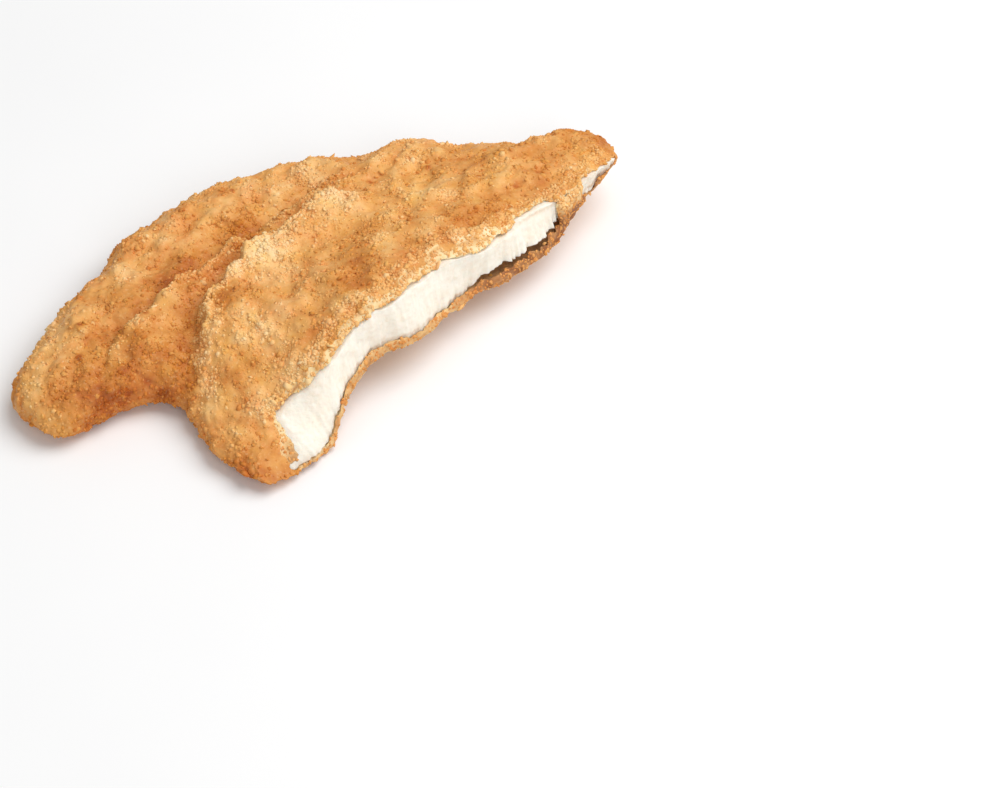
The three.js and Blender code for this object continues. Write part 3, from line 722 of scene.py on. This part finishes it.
def meat_material(name):
    m = Nodes(name)
    yaw = math.atan2(CUT[1], CUT[0])
    fibre = m.noise(1.5, 3.0, 0.55, stretch=((0.0, 0.0, -yaw), (0.45, 1.0, 1.25)))
    fleck = m.noise(0.7, 2.0, 0.5, offset=0.4)
    blot = m.noise(5.0, 2.0, 0.5, offset=0.8)
    t = m.add(m.attribute("tone"), (fibre, 0.55), (fleck, 0.25), (blot, 0.5))
    m.link(m.ramp(t, [(0.0, (250, 243, 230)), (0.35, (246, 237, 222)), (0.6, (240, 226, 207)), (0.8, (228, 206, 184)), (1.0, (200, 164, 130))]), m.bsdf.inputs["Base Color"])
    m.link(m.spread(fibre, 0.3, 0.7, 0.42, 0.62), m.bsdf.inputs["Roughness"])
    m.bump([(fibre, 0.5, 0.6), (fleck, 0.2, 0.5)])
    m.set(Specular_IOR_Level=0.45, Subsurface_Weight=0.35, Subsurface_Scale=0.003, Subsurface_Radius=(1.0, 0.75, 0.6))
    return m.mat


crust_material("crust", GOLD)
batter_material("torn_batter", [(0.0, (252, 232, 190)), (0.3, (244, 214, 160)), (0.55, (230, 184, 124)), (0.8, (196, 138, 82)), (1.0, (150, 92, 48))])
batter_material("inner_batter", [(0.0, (246, 226, 188)), (0.4, (232, 200, 150)), (0.75, (196, 152, 104)), (1.0, (150, 104, 66))])
meat_material("fillet_meat")
crust_material("crumb_golden", GOLD, roughness=0.66, skin=False)
crust_material("crumb_pale", [(0.0, (252, 226, 180)), (0.3, (246, 208, 152)), (0.6, (236, 182, 116)), (1.0, (216, 148, 82))], roughness=0.66, skin=False)
crust_material("crumb_toasted", [(0.0, (220, 150, 80)), (0.35, (202, 124, 60)), (0.65, (172, 92, 42)), (1.0, (106, 52, 24))], roughness=0.62, skin=False)

# ------------------------------------------------------------------ the coating and fillet pieces
tone = np.zeros(len(cv))
skin_v = np.zeros(len(cv), bool)
skin_v[cf[ck == 0]] = True
torn_v = np.zeros(len(cv), bool)
torn_v[cf[ck == 1]] = True
tone = browning_and_painted_shade(cv)
s_c, d_c = from_cut(cv[:, 0], cv[:, 1])
# the broken face: pale batter above, tanned crumbly lower lip, brown at its outer edge
mid_z = (mt_up(s_c) + mu_up(s_c)) / 2
lower = 1 - step(-1.5, 0.5, cv[:, 2] - mid_z)
streak = np.column_stack([s_c * CUT_LENGTH * 0.4, d_c * 1.5, cv[:, 2]])
broken = 0.31 + 0.32 * lower + 0.2 * noise(streak, 1.8, 81) + 0.16 * noise(cv, 3.2, 82)
in_band = (d_c - mt_in(s_c)) / (k_by(s_c) + 0.4)
broken = broken + 0.12 * step(0.85, 1.15, in_band) * (1 - lower) + 0.2 * bell((s_c - 0.83) / 0.04) + 0.28 * lower * step(0.45, 0.6, s_c)
crack_at = 0.5 + 0.16 * strand(s_c, 9.0, 44) + 0.08 * strand(s_c, 3.0, 45)
# darker along the crack in the batter: painted shade in the crevice under the flap
broken = broken + 0.34 * bell((in_band - crack_at) / 0.1) * step(-0.25, 0.1, strand(s_c, 8.0, 46)) * step(1.5, 3.0, k_by(s_c)) * (1 - lower)
# dark streaks just above the fillet's top edge: painted shade in the gap between batter and fillet
broken = broken + 0.55 * bell((d_c - mt_in(s_c) - 0.5) / 0.4) * step(0.0, 0.5, noise(streak, 5.0, 85)) * (1 - lower)
# inner batter: darker below the fillet's middle along the far part of the cut, a painted shade inside the gap under the
# fillet
tone = np.where(torn_v & ~skin_v, broken, np.where(skin_v, tone, 0.3 + 0.2 * noise(cv, 3.0, 83) + 0.5 * step(0.5, 0.58, s_c) * (cv[:, 2] < mid_z)))
coating = mesh_object("crumb_coating", cv, cf, slots=ck, attributes={"tone": tone, "red": 0.5 + 0.5 * reddening(cv)})
three_slots(coating, SLOTS[:3])

s_m, d_m = from_cut(mv[:, 0], mv[:, 1])
rim_in = np.minimum(np.abs(mv[:, 2] - mt_up(s_m)), np.abs(mv[:, 2] - mu_up(s_m)))
m_tone = 0.36 + 0.14 * noise(mv, 4.0, 91) + 0.35 * bell(rim_in / 0.5) + 0.2 * step(0.75, 1.0, s_m)
fillet = mesh_object("white_fillet", mv, mf, attributes={"tone": m_tone})
three_slots(fillet, SLOTS[3:])

# ------------------------------------------------------------------ the loose crumbs
ICO_V = np.array([(0, 0, 1)] + [(0.894 * math.cos(a), 0.894 * math.sin(a), 0.447) for a in np.arange(5) * 1.2566] +
                 [(0.894 * math.cos(a), 0.894 * math.sin(a), -0.447) for a in np.arange(5) * 1.2566 + 0.6283] + [(0, 0, -1)])
ICO_F = np.array([(0, 1 + k, 1 + (k + 1) % 5) for k in range(5)] + [(1 + k, 6 + k, 1 + (k + 1) % 5) for k in range(5)] +
                 [(6 + k, 6 + (k + 1) % 5, 1 + (k + 1) % 5) for k in range(5)] + [(11, 6 + (k + 1) % 5, 6 + k) for k in range(5)])
OCT_V = np.array([(1, 0, 0), (0, 1, 0), (-1, 0, 0), (0, -1, 0), (0, 0, 1), (0, 0, -1)], float)
OCT_F = np.array([(0, 1, 4), (1, 2, 4), (2, 3, 4), (3, 0, 4), (1, 0, 5), (2, 1, 5), (3, 2, 5), (0, 3, 5)])

tri = cv[cf]
t_cross = np.cross(tri[:, 1] - tri[:, 0], tri[:, 2] - tri[:, 0])
t_area = np.linalg.norm(t_cross, axis=1) / 2
t_mid = tri.mean(1)
c_normal = vertex_normals(cv, cf)
# the crust's tone at each triangle, with the painted shade of creases and folds included
t_brown_and_shade = browning_and_painted_shade(t_mid)


def scatter(name, material, count, median, spread, largest, base, weight, sink, flat, tone_of, seed, faces=0):
    """Crumbs of one kind as one joined mesh, sunk into the crust where weight says."""
    rng = np.random.default_rng(seed)
    count = int(count * CRUMB_SHARE)
    w = t_area * weight * (ck == faces)
    pick = rng.choice(len(cf), count, p=w / w.sum())
    a, b = rng.random(count), rng.random(count)
    over = a + b > 1
    a[over], b[over] = 1 - a[over], 1 - b[over]
    c = 1 - a - b
    at = tri[pick, 0] * a[:, None] + tri[pick, 1] * b[:, None] + tri[pick, 2] * c[:, None]
    n = c_normal[cf[pick, 0]] * a[:, None] + c_normal[cf[pick, 1]] * b[:, None] + c_normal[cf[pick, 2]] * c[:, None]
    n /= np.linalg.norm(n, axis=1)[:, None] + 1e-9
    size = np.clip(median * np.exp(spread * rng.standard_normal(count)), median * 0.45, largest) / 2
    unit, uf = base
    k = len(unit)
    shape = unit[None] * rng.uniform(0.72, 1.22, (count, k, 1))
    shape = shape * np.exp(rng.normal(0, 0.2, (count, 1, 3))) * np.array([1, 1, flat])
    # a small random tilt, a random turn, then up along the crust's normal
    tilt = rng.normal(0, 0.35, (count, 2))
    shape[:, :, 2] += shape[:, :, 0] * tilt[:, None, 0] + shape[:, :, 1] * tilt[:, None, 1]
    turn = rng.uniform(0, 2 * math.pi, count)
    u = np.cross(n, np.where(np.abs(n[:, 2:3]) < 0.9, [[0.0, 0, 1]], [[1.0, 0, 0]]))
    u /= np.linalg.norm(u, axis=1)[:, None]
    w_ = np.cross(n, u)
    cu, su = np.cos(turn)[:, None], np.sin(turn)[:, None]
    u, w_ = u * cu + w_ * su, w_ * cu - u * su
    v = shape[:, :, 0:1] * u[:, None] + shape[:, :, 1:2] * w_[:, None] + shape[:, :, 2:3] * n[:, None]
    centre = at + n * (size * flat * (1 - 2 * sink))[:, None]
    v = centre[:, None] + v * size[:, None, None]
    v[:, :, 2] = np.maximum(v[:, :, 2], 0.0)
    f = uf[None] + (np.arange(count) * k)[:, None, None]
    t = tone_of(browning_and_painted_shade(at), rng.standard_normal(count))
    ob = mesh_object(name, v.reshape(-1, 3), f.reshape(-1, 3), attributes={"tone": np.repeat(t, k), "red": np.repeat(0.5 + 0.5 * reddening(at), k)}, smooth=k > 6)
    ob.data.materials.append(bpy.data.materials[material])
    return ob


seen = np.where(c_normal[cf[:, 0]][:, 2] < -0.75, 0.5, 1.0)
clumpy = np.clip(0.65 + 1.2 * noise(t_mid, 6.5, 101) + 0.6 * noise(t_mid, 2.6, 102), 0.08, 2.2)
far_end = 1 + 0.5 * step(20, 60, t_mid[:, 0])
t_s, t_d = from_cut(t_mid[:, 0], t_mid[:, 1])
t_edge = bell((t_d - mt_in(t_s) - k_by(t_s) - 0.8) / 1.2) * (t_mid[:, 2] > mt_up(t_s) - 1) * (t_s > 0)
t_half = (mt_up(t_s) + mu_up(t_s)) / 2
crumbs = [
    scatter("crumb_fine", "crumb_golden", 17000, 0.52, 0.26, 0.95, (OCT_V, OCT_F), seen * clumpy, 0.66, 0.62, lambda b, r: b - 0.05 + 0.04 * r, 11),
    scatter("crumb_medium", "crumb_golden", 6500, 0.82, 0.3, 1.7, (ICO_V, ICO_F), seen * clumpy**2 * far_end, 0.66, 0.64, lambda b, r: b - 0.03 + 0.04 * r, 12),
    scatter("crumb_blond", "crumb_pale", 6800, 0.7, 0.34, 1.6, (ICO_V, ICO_F), seen * clumpy * np.clip(1.2 - 2.2 * t_brown_and_shade + 0.9 * crests(t_mid), 0.02, 2) ** 2 + 1.6 * t_edge, 0.62, 0.68, lambda b, r: b + 0.12 + 0.1 * r, 13),
    scatter("crumb_toasted", "crumb_toasted", 1700, 0.8, 0.34, 1.9, (ICO_V, ICO_F), seen * np.clip(2.6 * t_brown_and_shade - 0.85, 0.03, 3) ** 2, 0.67, 0.64, lambda b, r: b - 0.44 + 0.1 * r, 14),
    scatter("crumb_on_break", "crumb_pale", 800, 0.62, 0.36, 1.5, (ICO_V, ICO_F), 1.0 * (t_mid[:, 2] >= t_half), 0.56, 0.7, lambda b, r: 0.55 + 0.12 * r, 15, faces=1),
    scatter("crumb_on_lip", "crumb_pale", 500, 0.6, 0.34, 1.4, (ICO_V, ICO_F), 1.0 * (t_mid[:, 2] < t_half), 0.6, 0.66, lambda b, r: 0.9 + 0.1 * r, 16, faces=1),
]

for piece in [coating] + crumbs:
    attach(piece, "root")
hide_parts("coating")
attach(fillet, "root")
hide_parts("meat")

# ------------------------------------------------------------------ floor, light and camera
bpy.ops.mesh.primitive_plane_add(size=4.0, location=(0, 0, -0.0004))
floor = bpy.context.object
floor.name = "floor"
fm = Nodes("pale_floor")
fm.link(fm.ramp(fm.noise(60.0, 2.0), [(0.0, (246, 246, 246)), (1.0, (250, 250, 250))]), fm.bsdf.inputs["Base Color"])
fm.set(Roughness=0.9, Specular_IOR_Level=0.1)
floor.data.materials.append(fm.mat)

TARGET = Vector((0.03906, -0.03102, 0.008))
CAMERA_AT = Vector((0.03906, -0.49064, 0.46762))


def area_light(name, at, look, size, power, colour=(1, 1, 1)):
    data = bpy.data.lights.new(name, "AREA")
    data.shape, data.size, data.energy, data.color = "DISK", size, power, colour
    ob = bpy.data.objects.new(name, data)
    ob.location = at
    ob.rotation_euler = (Vector(look) - Vector(at)).to_track_quat("-Z", "Y").to_euler()
    bpy.context.scene.collection.objects.link(ob)


area_light("softbox_over", (0.42, 0.1, 0.75), (0, 0, 0), 0.9, 6.3)
area_light("softbox_front", (0.3, -0.9, 0.6), (0, 0, 0.01), 0.6, 2.8)

world = bpy.data.worlds.new("studio")
bpy.context.scene.world = world
world.use_nodes = True
world.node_tree.nodes["Background"].inputs["Color"].default_value = (1, 1, 1, 1)
world.node_tree.nodes["Background"].inputs["Strength"].default_value = 0.38
bpy.context.scene.view_settings.view_transform = "Standard"

cam = bpy.data.cameras.new("camera")
cam.sensor_width, cam.lens, cam.clip_start, cam.clip_end = 36.0, 110.0, 0.01, 20.0
camera = bpy.data.objects.new("camera", cam)
camera.location = CAMERA_AT
camera.rotation_euler = (math.radians(45), 0, 0)
bpy.context.scene.collection.objects.link(camera)
bpy.context.scene.camera = camera

print("triangles", {o.name: len(o.data.polygons) for o in [coating, fillet] + crumbs})
